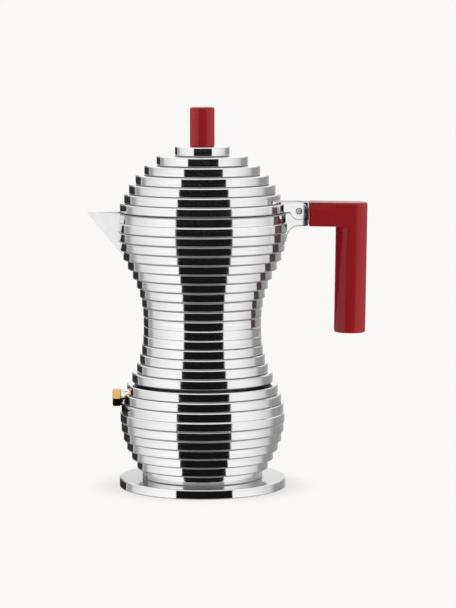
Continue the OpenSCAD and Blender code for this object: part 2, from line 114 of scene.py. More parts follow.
def blend(tree, factor, first, second):
    """A shader that goes from one to another with a factor."""
    return add_node(tree, "MixShader", {0: factor, 1: first, 2: second})


def glow(tree, color, strength=1.0):
    """Plain light of a colour."""
    return add_node(tree, "Emission", {"Color": color, "Strength": strength})


# %% Material and mesh helpers
def new_material(name):
    """A material with an empty graph."""
    material = bpy.data.materials.new(name)
    material.use_nodes = True
    material.node_tree.nodes.clear()
    return material


def wire_surface(material, shader):
    """Wires a shader socket to the material's output."""
    add_node(material.node_tree, "OutputMaterial", {"Surface": shader})
    return material


def mesh_of(name, vertices, faces):
    """A mesh from lists of points and faces."""
    mesh = bpy.data.meshes.new(name)
    mesh.from_pydata(vertices, [], faces)
    return mesh


# %% [markdown]
# ## Floor and surroundings
# A mirror shows its surroundings, so the studio is half of a polished pot's look. The camera sees a
# pale floor with a soft shadow, which fades into the colour of the paper behind. Reflections see a
# plain white floor instead, because upright mirror faces, seen from slightly above, show the floor
# in front of them.

# %% Floor
PAPER = (0.947, 0.939, 0.922, 1)
SHADED_PAPER = (0.965, 0.957, 0.94, 1)
WHITE = (1, 1, 1, 1)
studio_white = 1.0
sky_strength = 0.68
side_light = 1.6
side_lean = math.radians(72)
side_width = math.radians(50)
floor_half = 30.0
fade_start, fade_end = 0.030, 0.065


def make_floor():
    """A large pale plane: shaded near the pot, plain paper farther out, plain white in reflections."""
    material = new_material("floor_paper")
    tree = material.node_tree
    away = add_node(tree, "VectorMath", {0: add_node(tree, "TexCoord", output="Object")}, "Value",
                    operation="LENGTH")
    fade = add_node(tree, "MapRange", {"Value": away, "From Min": fade_start, "From Max": fade_end},
                    interpolation_type="SMOOTHSTEP")
    rays = add_node(tree, "LightPath").node.outputs
    near = blend(tree, maths(tree, "MULTIPLY", fade, rays["Is Camera Ray"]),
                 add_node(tree, "BsdfDiffuse", {"Color": SHADED_PAPER}), glow(tree, PAPER))
    surface = blend(tree, rays["Is Glossy Ray"], near, glow(tree, WHITE, studio_white))
    h = floor_half
    mesh = mesh_of("floor", [(-h, -h, 0), (h, -h, 0), (h, h, 0), (-h, h, 0)], [(0, 1, 2, 3)])
    mesh.materials.append(wire_surface(material, surface))
    put_in_scene("floor", mesh)


make_floor()
print("floor fades from", round(fade_start / MM), "to", round(fade_end / MM), "mm from the axis")


# %% World and side lights
def make_world():
    """White all round: paper to the camera, studio white to reflections, a plain level to the rest."""
    world = bpy.data.worlds.new("studio")
    bpy.context.scene.world = world
    world.use_nodes = True
    tree = world.node_tree
    tree.nodes.clear()
    rays = add_node(tree, "LightPath").node.outputs
    sky, mirror, paper = (add_node(tree, "Background", {"Color": color, "Strength": strength})
                          for color, strength in ((WHITE, sky_strength), (WHITE, studio_white), (PAPER, 1.0)))
    inner = blend(tree, rays["Is Glossy Ray"], sky, mirror)
    add_node(tree, "OutputWorld", {"Surface": blend(tree, rays["Is Camera Ray"], inner, paper)})


def make_side_light(name, side):
    """A very wide soft light from one side, which only shades: reflections don't show it."""
    data = bpy.data.lights.new(name, "SUN")
    data.energy = side_light
    data.angle = side_width
    sun = put_in_scene(name, data)
    sun.rotation_euler = (0, side * side_lean, 0)
    sun.visible_glossy = False


make_world()
make_side_light("left_light", -1)
make_side_light("right_light", 1)
print("studio white", studio_white, "sky", sky_strength)

# %% [markdown]
# ## Measuring the frame
# The shells are rebuilt with rounder edges and more facets, so their sizes have to be read off the
# model. The rings are measured beside the Y axis, because the spout and the handle stand on the X
# axis. A ring's radius is the largest found between its two edges.


# %% Measuring helpers
def vertices_of(node):
    """The model's points of a node."""
    return [v.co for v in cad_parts[node].data.vertices]


def from_axis(point):
    """How far a point is from the pot's axis."""
    return math.hypot(point.x, point.y)


def points_of(node):
    """The model's points beside the Y axis, as pairs of radius and height."""
    return [(from_axis(p), p.z) for p in vertices_of(node) if abs(p.y) > 2 * abs(p.x)]


def outer_radius(points, low, high, margin=0.1 * MM):
    """The largest radius between two heights, apart from the edges at those heights."""
    return max(r for r, z in points if low + margin < z < high - margin)


def inner_radius(points, height, tolerance=0.3 * MM):
    """The radius of the hollow at a height."""
    return min(r for r, z in points if abs(z - height) < tolerance)


def ring_radii(node, top, count):
    """Radii of a node's rings from the top down."""
    points = points_of(node)
    return [outer_radius(points, top - (i + 1) * ring_height, top - i * ring_height)
            for i in range(count)]


# %% Ring measurements
LID_RINGS, COLLECTOR_RINGS, BOILER_RINGS = 7, 18, 11
boiler_low, boiler_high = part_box("boiler_shell")
pot_radius = (boiler_high.y - boiler_low.y) / 2
rim_z = boiler_high.z
crown_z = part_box("lid_shell")[1].z
skirt_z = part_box("collector_shell")[0].z
ring_height = (crown_z - skirt_z) / (LID_RINGS + COLLECTOR_RINGS)
ledge_z = BOILER_RINGS * ring_height
mouth_z = crown_z - LID_RINGS * ring_height
lid_radii = ring_radii("lid_shell", crown_z, LID_RINGS)
collector_radii = ring_radii("collector_shell", mouth_z, COLLECTOR_RINGS)
boiler_radii = ring_radii("boiler_shell", ledge_z, BOILER_RINGS)
print("ring height in mm:", round(ring_height / MM, 3), "mouth at", round(mouth_z / MM, 2))
print("widest rings in mm:", [round(max(r) / MM, 2) for r in (lid_radii, collector_radii, boiler_radii)])

# %% Places of the small pieces
handle_low, handle_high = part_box("handle")
pin_low, pin_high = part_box("hinge_pin")
valve_low, valve_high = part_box("valve_body")
washer_low, washer_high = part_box("valve_washer")
pin_x, pin_z = (pin_low.x + pin_high.x) / 2, (pin_low.z + pin_high.z) / 2
valve_z = (valve_low.z + valve_high.z) / 2
print("hinge pin at", round(pin_x / MM, 2), round(pin_z / MM, 2), "valve at", round(valve_z / MM, 2))

# %% [markdown]
# ## The reflection fan
# Polished metal in an all-white room looks like grey plaster. Product lighting puts black and grey
# cards into the room, and their edges draw the shape. Here they are one large fan that lies on the
# floor. By the mirror law a face whose normal points to the angle a sends the camera's ray off at
# twice that angle, so a short table of tones by normal angle lays out the whole fan: black in front,
# white beside it, grey farther round, and black again behind on the left.
#
# At its far end the fan turns up into a wall. The ledges between the rings show the wall, by way of
# the face above them, and the flat top of the foot shows the part above that. So the wall goes from
# the floor's tones to a second table, and then to a third.

# %% Tones of the fan
fan_height = 0.0004
fan_reach = 6.0
BLACK = 0.007

# angle of the face's normal, tone; the tone is blended between neighbours, and a repeated angle is
# a hard edge
FLOOR_TONES = [
    (-90, 0.035), (-66.2, 0.030), (-66.2, 0.58), (-64, 0.42), (-61, 0.33), (-58, 0.48), (-55, 0.72),
    (-52, 0.79), (-48, 0.83), (-44, 0.88), (-38, 0.95), (-30, 1.01), (-18.3, 1.06), (-18.3, BLACK),
    (20.6, BLACK), (20.6, 0.96), (30, 0.97), (38, 0.92), (44, 0.83), (48, 0.76), (52, 0.69),
    (55, 0.60), (58, 0.38), (61, 0.30), (64, 0.32), (70, 0.30), (78, 0.38), (90, 0.60),
]
LEDGE_TONES = [
    (-90, 1.0), (-60, 1.0), (-50, 0.60), (-22, 0.72), (-18, 1.0), (20, 1.0), (24, 0.68), (40, 0.62),
    (56, 0.50), (66, 1.0), (90, 1.0),
]
FOOT_TONES = [
    (-90, 0.66), (-88, 0.66), (-87, 0.03), (-66.2, 0.03), (-64, 0.25), (-58, 0.26), (-45, 0.74),
    (-31, 0.90), (-20, 0.90), (-18, 0.06), (0, 0.03), (20, 0.06), (22, 0.90), (31, 0.88), (45, 0.58),
    (60, 0.25), (80, 0.30), (85, 0.74), (90, 0.74),
]
# heights on the wall, in metres, and the table that holds there
WALL_ROWS = [
    (0.0, FLOOR_TONES), (0.30, FLOOR_TONES), (0.42, LEDGE_TONES), (0.93, LEDGE_TONES),
    (0.98, FOOT_TONES), (2.00, FOOT_TONES),
]
print("tones on the floor:", len(FLOOR_TONES), "and on the wall:", len(LEDGE_TONES), len(FOOT_TONES))


# %% Reflection cards
def card_material():
    """Plain light whose tone comes from the card's own colour attribute."""
    material = new_material("reflection_card")
    tone = add_node(material.node_tree, "VertexColor", layer_name="tone")
    return wire_surface(material, glow(material.node_tree, tone))


card = card_material()


def reflection_card(name, strips):
    """Quads with a tone at each corner, which only mirror reflections see."""
    corners = [corner for strip in strips for corner in strip]
    mesh = mesh_of(name, [tuple(point) for point, _ in corners],
                   [tuple(range(4 * k, 4 * k + 4)) for k in range(len(strips))])
    layer = mesh.color_attributes.new("tone", "FLOAT_COLOR", "POINT")
    for item, (_, tone) in zip(layer.data, corners):
        item.color = (*tone, 1) if isinstance(tone, tuple) else (tone, tone, tone, 1)
    mesh.materials.append(card)
    piece = put_in_scene(name, mesh)
    for ray in ("camera", "diffuse", "shadow", "transmission"):
        setattr(piece, "visible_" + ray, False)


# %% Directions and tones
def heading(angle):
    """A direction on the floor, turned by an angle from the camera's side towards the right."""
    return Vector((math.sin(math.radians(angle)), -math.cos(math.radians(angle)), 0))


def tone_at(tones, angle, side):
    """The tone of a table at an angle; side is a point between neighbours that picks the right pair."""
    for (a, tone_a), (b, tone_b) in zip(tones, tones[1:]):
        if a <= side <= b and b > a:
            return tone_a + (tone_b - tone_a) * (angle - a) / (b - a)
    return tones[-1][1]


def fan_steps(*tables):
    """Pairs of neighbouring angles over the half circle, with each table's own angles among them."""
    own = {angle for table in tables for angle, _ in table}
    angles = sorted(own | {a / 2 for a in range(-180, 181)})
    return list(zip(angles, angles[1:]))


# %% The fan on the floor and its wall
def fan_rows():
    """How far from each ring its mirror image lies on the floor, as pairs of distance and radius."""
    foot_shadow = ring_height * (camera_distance - pot_radius) / (camera_height - ring_height)
    rows = [(0, pot_radius), (foot_shadow, pot_radius)]
    stacks = ((ledge_z, boiler_radii[:-1]), (mouth_z, collector_radii), (crown_z, lid_radii))
    for top, radii in stacks:
        for i in reversed(range(len(radii))):
            z = top - (i + 0.5) * ring_height
            rows.append((z * (camera_distance - radii[i]) / (camera_height - z), radii[i]))
    return rows + [(fan_reach, lid_radii[0])]


def floor_strips(a, b, rows):
    """The floor fan between two normal angles, from the foot outwards."""
    strips = []
    lift = Vector((0, 0, fan_height))
    for near_row, far_row in zip(rows, rows[1:]):
        strips.append([
            (heading(angle) * radius + heading(2 * angle) * distance + lift,
             tone_at(FLOOR_TONES, angle, (a + b) / 2))
            for angle, (distance, radius) in ((a, near_row), (a, far_row), (b, far_row), (b, near_row))])
    return strips


def wall_strip(a, b, low_row, high_row):
    """One upright strip at the far end of the fan."""
    return [(heading(angle) * pot_radius + heading(2 * angle) * fan_reach + Vector((0, 0, height)),
             tone_at(tones, angle, (a + b) / 2))
            for angle, (height, tones) in ((a, low_row), (b, low_row), (b, high_row), (a, high_row))]


floor_steps = fan_steps(FLOOR_TONES)
rows = fan_rows()
reflection_card("floor_fan", [strip for a, b in floor_steps for strip in floor_strips(a, b, rows)])
wall_steps = fan_steps(FLOOR_TONES, LEDGE_TONES, FOOT_TONES)
reflection_card("wall_fan", [wall_strip(a, b, low_row, high_row)
                             for low_row, high_row in zip(WALL_ROWS, WALL_ROWS[1:]) for a, b in wall_steps])
print("fan steps:", len(floor_steps), "pot radius in mm:", round(pot_radius / MM, 2))

# %% [markdown]
# ## Small flags
# A flag is a small card that stands close to the metal. The rings beside the handle mirror it, and
# its bare red would be too loud there, so flags with a darker and duller tone stand between the two.
# Others give the white hinge its dark outlines, and put a dark edge under and beside the valve.

# %% Flags beside the grip
GRIP_TONE = (0.075, 0.050, 0.055)
ARM_TONE = (0.130, 0.085, 0.085)
ARM_TOP_TONE = 0.34
PALE_TONES = (0.76, 0.66)
# across the grip, at its foot and at the arm: where the pale part starts, where the dark part
# starts, and where the dark part ends
foot_edges, arm_edges = (-13 * MM, -1.5 * MM, 16.5 * MM), (-16 * MM, -9.5 * MM, 9.5 * MM)

grip_face = handle_high.x - (handle_high.y - handle_low.y) - 2 * MM
arm_low = 0.75 * handle_high.z + 0.25 * handle_low.z
grip_rows = [(handle_low.z - 2 * MM, foot_edges), (arm_low, arm_edges), (handle_high.z, arm_edges)]
for part, (name, tones) in enumerate((("grip_pale_flag", PALE_TONES),
                                      ("grip_dark_flag", (GRIP_TONE, GRIP_TONE)))):
    reflection_card(name, [
        [(Vector((grip_face, edges[part + k], z)), tones[k])
         for (z, edges), k in ((low_row, 0), (low_row, 1), (high_row, 1), (high_row, 0))]
        for low_row, high_row in zip(grip_rows, grip_rows[1:])])
print("grip flags start at", round(grip_face / MM, 2), "mm beside the axis")


# %% Flags by the arm, the hinge and the valve
def flag(name, low, high, tone):
    """A small flat card between two opposite corners, which have one coordinate in common."""
    (x0, y0, z0), (x1, y1, z1) = low, high
    if z0 == z1:
        corners = (x0, y0, z0), (x1, y0, z0), (x1, y1, z0), (x0, y1, z0)
    else:
        corners = (x0, y0, z0), (x1, y1, z0), (x1, y1, z1), (x0, y0, z1)
    reflection_card(name, [[(corner, tone) for corner in corners]])


arm_x, arm_y = handle_low.x - 0.4 * MM, handle_low.y - 0.6 * MM
arm_split = mouth_z + 0.5 * ring_height
for part, low, high, tone in (("dark", arm_low, arm_split, ARM_TONE),
                              ("pale", arm_split, arm_split + 1.2 * ring_height, ARM_TOP_TONE)):
    flag("arm_" + part + "_flag", (arm_x, arm_y, low), (grip_face, arm_y, high), tone)
    flag("arm_end_" + part + "_flag", (arm_x, arm_y, low), (arm_x, pin_low.y - 0.2 * MM, high), tone)

hinge_place = Vector((pin_low.x, 0, pin_z))
valve_place = Vector((valve_low.x, 0, valve_low.z))
# two corners of each flag, in mm from its place
for name, place, low, high, tone in (
        ("hinge_flag", hinge_place, (-17, -40, -24), (5, -40, 10), 0.95),
        ("hinge_under_flag", hinge_place, (-10, -10, -17), (5, -1, -17), BLACK),
        ("valve_under_flag", valve_place, (-1, -14, -1.5), (6, 4, -1.5), BLACK)):
    flag(name, place + Vector(low) * MM, place + Vector(high) * MM, tone)
flag("valve_side_flag", (washer_low.x, -10 * MM, valve_low.z), (washer_low.x, -4.8 * MM, valve_high.z), BLACK)

# %% [markdown]
# ## Marks and grain
# A turned ring keeps fine grooves that run round the axis. On an upright face they change with
# height, and on a flat ledge with radius. Noise that is read at the pair (radius, height), and only
# very slowly round the angle, gives both with one node group. Cast skin, moulded plastic and rubber
# have a grain that runs no particular way: a second group reads its noise at the plain place.
#
# Both groups put out a colour, a roughness and a normal from one mask and one fine noise, so that
# every finish can use them with its own values, and they share the code for that half.


# %% Noise for marks and grain
def noise(group, place, scale, detail, roughness):
    """Noise read at a place."""
    return add_node(group, "TexNoise", {"Vector": place, "Scale": scale, "Detail": detail,
                                        "Roughness": roughness})


def spun_noise(group, place, lines, broad_lines=900.0, drift=0.0008):
    """Fine noise and a mask that run round the Z axis."""
    x, y, z = add_node(group, "SeparateXYZ", {0: place}).node.outputs
    radius = maths(group, "SQRT", maths(group, "ADD", maths(group, "MULTIPLY", x, x),
                                        maths(group, "MULTIPLY", y, y)))
    turned = maths(group, "MULTIPLY", maths(group, "ARCTAN2", y, x), drift)
    spun = add_node(group, "CombineXYZ", {0: radius, 1: z, 2: turned})
    fine, broad = noise(group, spun, lines, 2.0, 0.6), noise(group, spun, broad_lines, 2.0, 0.5)
    both = maths(group, "ADD", maths(group, "MULTIPLY", fine, 0.5), maths(group, "MULTIPLY", broad, 0.5))
    return fine, add_node(group, "MapRange", {"Value": both, "From Min": 0.38, "From Max": 0.62})


def plain_noise(group, place, scale, cloud_size=90.0):
    """Fine noise with no direction, and a mask of slow clouds."""
    cloud = noise(group, place, cloud_size, 3.0, 0.55)
    mask = add_node(group, "MapRange", {"Value": cloud, "From Min": 0.35, "From Max": 0.65})
    return noise(group, place, scale, 3.0, 0.6), mask


# %% Groups for marks and grain
def marks_group(name, size_name, read_noise, bump_height):
    """A group whose mask picks tone and roughness between given ends, and whose fine noise is bumps."""
    group = bpy.data.node_groups.new(name, "ShaderNodeTree")
    for in_out, sockets in (
            ("INPUT", {size_name: "Float", "Depth": "Float", "Dark": "Color", "Light": "Color",
                       "Smooth": "Float", "Rough": "Float"}),
            ("OUTPUT", {"Color": "Color", "Roughness": "Float", "Normal": "Vector"})):
        for label, kind in sockets.items():
            group.interface.new_socket(label, in_out=in_out, socket_type="NodeSocket" + kind)
    given = group.nodes.new("NodeGroupInput").outputs
    result = group.nodes.new("NodeGroupOutput").inputs
    fine, mask = read_noise(group, add_node(group, "TexCoord", output="Object"), given[size_name])
    # a Mix node keeps one set of sockets for each data type, so the colours are wired by place
    tone = add_node(group, "Mix", {0: mask, 6: given["Dark"], 7: given["Light"]}, 2, data_type="RGBA")
    rough = add_node(group, "MapRange", {"Value": mask, "To Min": given["Rough"], "To Max": given["Smooth"]})
    bump = add_node(group, "Bump", {"Strength": given["Depth"], "Distance": bump_height, "Height": fine})
    for socket, label in ((tone, "Color"), (rough, "Roughness"), (bump, "Normal")):
        group.links.new(socket, result[label])
    print("group", name, "with", len(group.nodes), "nodes")
    return group


turned_marks = marks_group("turned_marks", "Lines", spun_noise, 0.01 * MM)
grain = marks_group("grain", "Scale", plain_noise, 0.04 * MM)

# %% [markdown]
# ## The finishes
# Each finish is a Principled shader fed by one of the two groups. What stays the same all over a
# surface, such as the metalness, is set on the shader itself. What changes from spot to spot comes
# from the group. So a finish is one row of a table: the group, how fine and how deep its noise is,
# the darkest and the lightest tone, the smoothest and the roughest spot, and the metalness.

# %% Table of finishes
LATHE_LINES = 2300.0
HALF_METAL = 0.45
FINISHES = {
    "polished_aluminium": (turned_marks, LATHE_LINES, 0.12, (0.84, 0.84, 0.845), (0.94, 0.94, 0.942),
                           0.05, 0.11, 1.0),
    # darker, rougher metal for the corners between rings, the edges of plates and recesses: painted shade on
    # a rougher finish
    "rough_painted_shade": (turned_marks, LATHE_LINES, 0.5, (0.34, 0.34, 0.345), (0.44, 0.44, 0.445),
                          0.38, 0.5, 1.0),
    "satin_casting": (grain, 1500.0, 0.35, (0.84, 0.84, 0.845), (0.92, 0.92, 0.925), 0.30, 0.42, HALF_METAL),
    # a darker, rougher band on the lower edge of a ring that stands out: painted shade under the overhang
    "overhang_painted_shade": (turned_marks, LATHE_LINES, 0.3, (0.29, 0.29, 0.295), (0.37, 0.37, 0.375),
                   0.30, 0.42, HALF_METAL),
    "dull_thread": (turned_marks, LATHE_LINES, 0.5, (0.26, 0.26, 0.265), (0.34, 0.34, 0.345), 0.38, 0.5, 1.0),
    "cast_aluminium": (grain, 1800.0, 0.5, (0.60, 0.60, 0.61), (0.70, 0.70, 0.71), 0.32, 0.45, 1.0),
    "sheet_aluminium": (turned_marks, 2600.0, 0.35, (0.66, 0.66, 0.67), (0.78, 0.78, 0.79), 0.20, 0.32, 1.0),
    "silicone": (grain, 2600.0, 0.25, (0.70, 0.68, 0.62), (0.78, 0.76, 0.70), 0.48, 0.60, 0.0),
    "turned_brass": (grain, 3000.0, 0.12, (0.66, 0.40, 0.11), (0.78, 0.53, 0.18), 0.16, 0.26, 1.0),
    "soft_copper": (grain, 3000.0, 0.2, (0.55, 0.24, 0.13), (0.70, 0.33, 0.20), 0.28, 0.4, 1.0),
    "bright_steel": (grain, 3500.0, 0.12, (0.50, 0.51, 0.53), (0.62, 0.63, 0.65), 0.16, 0.26, 1.0),
    "red_plastic": (grain, 2600.0, 0.10, (0.284, 0.0034, 0.0056), (0.309, 0.0042, 0.0068), 0.19, 0.25, 0.0),
}
PLASTIC_IOR, METAL_IOR = 1.42, 1.5
print("metals:", sum(row[-1] > 0 for row in FINISHES.values()), "of", len(FINISHES), "finishes")


# %% Finishes
def finish(name, group, size, depth, dark, light, smooth, rough, metalness):
    """A Principled material whose colour, roughness and normal come from a group."""
    material = new_material(name)
    marks = add_node(material.node_tree, "Group", {
        0: size, "Depth": depth, "Dark": (*dark, 1), "Light": (*light, 1), "Smooth": smooth, "Rough": rough,
    }, node_tree=group).node.outputs
    shader = add_node(material.node_tree, "BsdfPrincipled", {
        "Base Color": marks["Color"], "Roughness": marks["Roughness"], "Normal": marks["Normal"],
        "Metallic": metalness, "IOR": PLASTIC_IOR if name == "red_plastic" else METAL_IOR})
    return wire_surface(material, shader)


finishes = {name: finish(name, *row) for name, row in FINISHES.items()}
silicone, brass, steel, red_plastic = (
    finishes[name] for name in ("silicone", "turned_brass", "bright_steel", "red_plastic"))
# the finishes of one casting, in the order of its faces' finish numbers
castings = [finishes[name] for name in ("polished_aluminium", "rough_painted_shade", "cast_aluminium",
                                        "satin_casting", "dull_thread", "overhang_painted_shade")]
POLISHED, PAINTED_SHADE, INSIDE, SATIN, THREAD, OVERHANG_SHADE = range(len(castings))
print("finishes:", len(finishes))

# %% [markdown]
# ## Turning a profile
# A lathe turns a profile about an axis, and so does this code: the profile is a closed loop of
# (radius, height, finish), and each pair of neighbours becomes a band of faces. Every ring gets a
# real round on both edges, because a mirror shows an edge mostly by its round. The corner between
# two rings is rougher, out of the polishing wheel's reach, and a thin strip there is painted dark:
# painted shade, where the corner lies in shadow. Where a ring stands out over the next one down,
# its lower edge gets a rougher band that is painted dark too: painted shade under the overhang.

# %% Ring profiles
SEGMENTS = 288
ARC_STEPS = 5
top_round = 0.62 * MM
bottom_round = 0.40 * MM
corner_strip = 0.15 * MM
# how far the finishes with painted shade reach up the face above the lower round
shade_bands = {PAINTED_SHADE: 0.12 * MM, OVERHANG_SHADE: 0.22 * MM}
# how much wider the next ring is: from wide_step on it's a corner, and below narrow_step an overhanging edge;
# both get a finish with painted shade
wide_step, narrow_step = 0.64 * MM, -0.15 * MM
print("edge rounds in mm:", round(top_round / MM, 2), "above and", round(bottom_round / MM, 2), "below")


def spoke(degrees):
    """Cosine and sine of an angle."""
    return math.cos(math.radians(degrees)), math.sin(math.radians(degrees))


def arc(centre_r, centre_z, radius, start, end, finish_index, steps=ARC_STEPS):
    """Points on an arc of the profile, from one angle to another, in degrees above outwards."""
    turns = (spoke(start + (end - start) * k / steps) for k in range(steps + 1))
    return [(centre_r + radius * out, centre_z + radius * up, finish_index) for out, up in turns]


def ring_profile(radii, top, first=POLISHED):
    """The outside of a stack of rings, from its top edge to its bottom edge."""
    points = []
    for i, r in enumerate(radii):
        high, low = top - i * ring_height, top - (i + 1) * ring_height
        step = radii[i + 1] - r if i + 1 < len(radii) else wide_step
        # a corner or an overhang takes a finish with painted shade on its lower round
        edge = PAINTED_SHADE if step >= wide_step else OVERHANG_SHADE if step < narrow_step else POLISHED
        points += arc(r - top_round, high - top_round, top_round, 90, 0, POLISHED if i else first)
        points[-1] = (*points[-1][:2], POLISHED)
        if edge in shade_bands:
            points.append((r, low + bottom_round + shade_bands[edge], edge))
        points += arc(r - bottom_round, low + bottom_round, bottom_round, 0, -90, edge)
        if i + 1 < len(radii) and step > corner_strip + top_round:
            points.append((r + corner_strip - bottom_round, low, POLISHED))
    return points


# %% Turned meshes
def turned_mesh(name, profile, segments=SEGMENTS):
    """Turns a closed profile round the Z axis. A point on the axis becomes a single vertex."""
    vertices, rows = [], []
    for r, z, _ in profile:
        if r < 1e-7:
            rows.append([len(vertices)] * segments)
            vertices.append((0, 0, z))
        else:
            rows.append(list(range(len(vertices), len(vertices) + segments)))
            for k in range(segments):
                a = 2 * math.pi * k / segments
                vertices.append((r * math.cos(a), r * math.sin(a), z))
    faces, finish_indices = [], []
    for i, row in enumerate(rows):
        following = rows[(i + 1) % len(rows)]
        for k in range(segments):
            n = (k + 1) % segments
            corners = [row[k], following[k], following[n], row[n]]
            face = [c for j, c in enumerate(corners) if c not in corners[:j]]
            if len(face) > 2:
                faces.append(face)
                finish_indices.append(profile[i][2])
    mesh = mesh_of(name, vertices, faces)
    mesh.polygons.foreach_set("material_index", finish_indices)
    mesh.validate()
    return mesh


def softened(points, finish_index):
    """Inner points with their corners cut in three, so that a cast hollow looks smooth."""
    smooth = [(*points[0], finish_index)]
    for before, here, after in zip(points, points[1:], points[2:]):
        for t in (0.25, 0.5, 0.75):
            a = [before[k] + (here[k] - before[k]) * (0.5 + t / 2) for k in (0, 1)]
            b = [here[k] + (after[k] - here[k]) * t / 2 for k in (0, 1)]
            smooth.append((a[0] + (b[0] - a[0]) * t, a[1] + (b[1] - a[1]) * t, finish_index))
    return smooth + [(*points[-1], finish_index)]


# %% [markdown]
# ## Joining and cutting
# A casting is a turned body with other shapes joined on and holes cut away. Boolean modifiers do
# both, and each is applied at once, so that the next one meets a plain mesh.


# %% Pieces and modifiers
def new_piece(name, mesh, materials):
    """An object for a mesh, with its finishes."""
    for material in materials:
        mesh.materials.append(material)
    return put_in_scene(name, mesh)


def apply_modifiers(piece):
    """Swaps the piece's mesh for the one its modifiers make."""
    depsgraph = bpy.context.evaluated_depsgraph_get()
    made = bpy.data.meshes.new_from_object(piece.evaluated_get(depsgraph))
    piece.modifiers.clear()
    piece.data = made
    made.name = piece.name


def soften_edges(piece, width, angle):
    """A small round on every edge that is sharper than an angle."""
    bevel = piece.modifiers.new("edge", "BEVEL")
    bevel.width = width
    bevel.segments = 3
    bevel.limit_method = "ANGLE"
    bevel.angle_limit = math.radians(angle)
    return bevel


def smooth_shading(mesh, sharp_angle):
    """Smooth shading, apart from edges that are sharper than an angle."""
    mesh.shade_smooth()
    mesh.set_sharp_from_angle(angle=math.radians(sharp_angle))


def shade(piece, sharp_angle=38):
    """Smooth shading that keeps flats flat: large faces decide the normals at their edges."""
    smooth_shading(piece.data, sharp_angle)
    weighted = piece.modifiers.new("weighted", "WEIGHTED_NORMAL")
    weighted.keep_sharp = True
    weighted.weight = 60
    apply_modifiers(piece)
    return piece


# %% Joining, settling and drilling
def combine(piece, other, operation):
    """Joins a tool body to the piece, or cuts it away, and removes the tool body."""
    step = piece.modifiers.new(operation.lower(), "BOOLEAN")
    step.operation = operation
    step.solver = "EXACT"
    step.object = other
    apply_modifiers(piece)
    bpy.data.objects.remove(other)


def settle(piece, body, slot, *nodes):
    """The piece moves with a body and stands for the model's own nodes, which it hides. The slot is not used.
    """
    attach(piece, body)
    if nodes:
        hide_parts(*nodes)
    return piece


def cylinder_between(name, start, end, radius, finish_index=POLISHED, segments=64):
    """A closed cylinder from one point to another, as a tool body."""
    axis = Vector(end) - Vector(start)
    bm = bmesh.new()
    bmesh.ops.create_cone(bm, cap_ends=True, segments=segments, radius1=radius, radius2=radius,
                          depth=axis.length)
    turn = axis.to_track_quat("Z", "Y").to_matrix().to_4x4()
    middle = (Vector(start) + Vector(end)) / 2
    bmesh.ops.transform(bm, matrix=Matrix.Translation(middle) @ turn, verts=bm.verts)
    mesh = bpy.data.meshes.new(name)
    bm.to_mesh(mesh)
    bm.free()
    mesh.polygons.foreach_set("material_index", [finish_index] * len(mesh.polygons))
    return new_piece(name, mesh, castings)


def drill(piece, start, end, radius, finish_index=POLISHED):
    """A round hole from one point to another."""
    combine(piece, cylinder_between("drill", start, end, radius, finish_index), "DIFFERENCE")


# %% Plates
def outward(mesh, merge=0.0, matrix=None):
    """Turns all faces of a closed mesh outwards, and merges and moves its points where asked."""
    bm = bmesh.new()
    bm.from_mesh(mesh)
    if merge:
        bmesh.ops.remove_doubles(bm, verts=bm.verts, dist=merge)
    bmesh.ops.recalc_face_normals(bm, faces=bm.faces)
    if matrix is not None:
        bmesh.ops.transform(bm, matrix=matrix, verts=bm.verts)
    bm.to_mesh(mesh)
    bm.free()
    return mesh


def slab(name, outline, y_low, y_high, edge):
    """A flat plate with a given outline in the XZ plane and softly rounded edges."""
    count = len(outline)
    vertices = [(x, y, z) for y in (y_low, y_high) for x, z in outline]
    faces = [tuple(range(count)), tuple(range(2 * count - 1, count - 1, -1))]
    faces += [(k, k + count, (k + 1) % count + count, (k + 1) % count) for k in range(count)]
    mesh = outward(mesh_of(name, vertices, faces))
    # the flat sides are polished, and the narrow faces all round take the corner finish: a painted shade line
    # round the plate's edge
    mesh.polygons.foreach_set("material_index", [POLISHED] * 2 + [PAINTED_SHADE] * count)
    piece = new_piece(name, mesh, castings)
    if edge:
        soften_edges(piece, edge, 40)
        apply_modifiers(piece)
    return piece


# %% [markdown]
# ## The boiler
# The boiler is one casting: eleven rings, the lowest a wide foot, a threaded neck on top, and a
# thick floor. The profile runs down the outside, under the base to the axis, and back up inside.
# The boss that holds the safety valve is joined on, and its bore is drilled.

# %% Boiler
boiler_points = points_of("boiler_shell")
neck_radius = outer_radius(boiler_points, ledge_z, rim_z)
mouth_radius = inner_radius(boiler_points, rim_z)
boiler_floor = 5 * MM
wall = 2.4 * MM
thread_depth = 0.6 * MM
thread_lead = 3.5 * MM


def boiler_profile():
    """The boiler from the rim down the outside, along the base, and up the hollow."""
    neck = neck_radius - thread_depth
    edge = 0.4 * MM
    points = [(mouth_radius + edge, rim_z, THREAD)]
    points += arc(neck - edge, rim_z - edge, edge, 90, 0, THREAD)
    points.append((neck, ledge_z, THREAD))
    points.append((collector_radii[-1] - 1.2 * MM, ledge_z, POLISHED))
    points += ring_profile(boiler_radii, ledge_z)
    points += [(0, 0, INSIDE), (0, boiler_floor, INSIDE)]
    heights = [ledge_z - i * ring_height for i in range(BOILER_RINGS - 2, 1, -1)]
    hollow = [(inner_radius(boiler_points, z), z) for z in heights]
    corner = (hollow[0][0] - wall, boiler_floor)
    points += softened([corner, *hollow, (mouth_radius, ledge_z - wall)], INSIDE)
    points.append((mouth_radius, rim_z - edge, POLISHED))
    return points


boss_radius = (washer_high.y - washer_low.y) / 2 + 0.2 * MM
shank_radius = max(math.hypot(p.y, p.z - valve_z) for p in vertices_of("valve_body") if p.x > washer_high.x)
boss_root = -boiler_radii[1] + wall

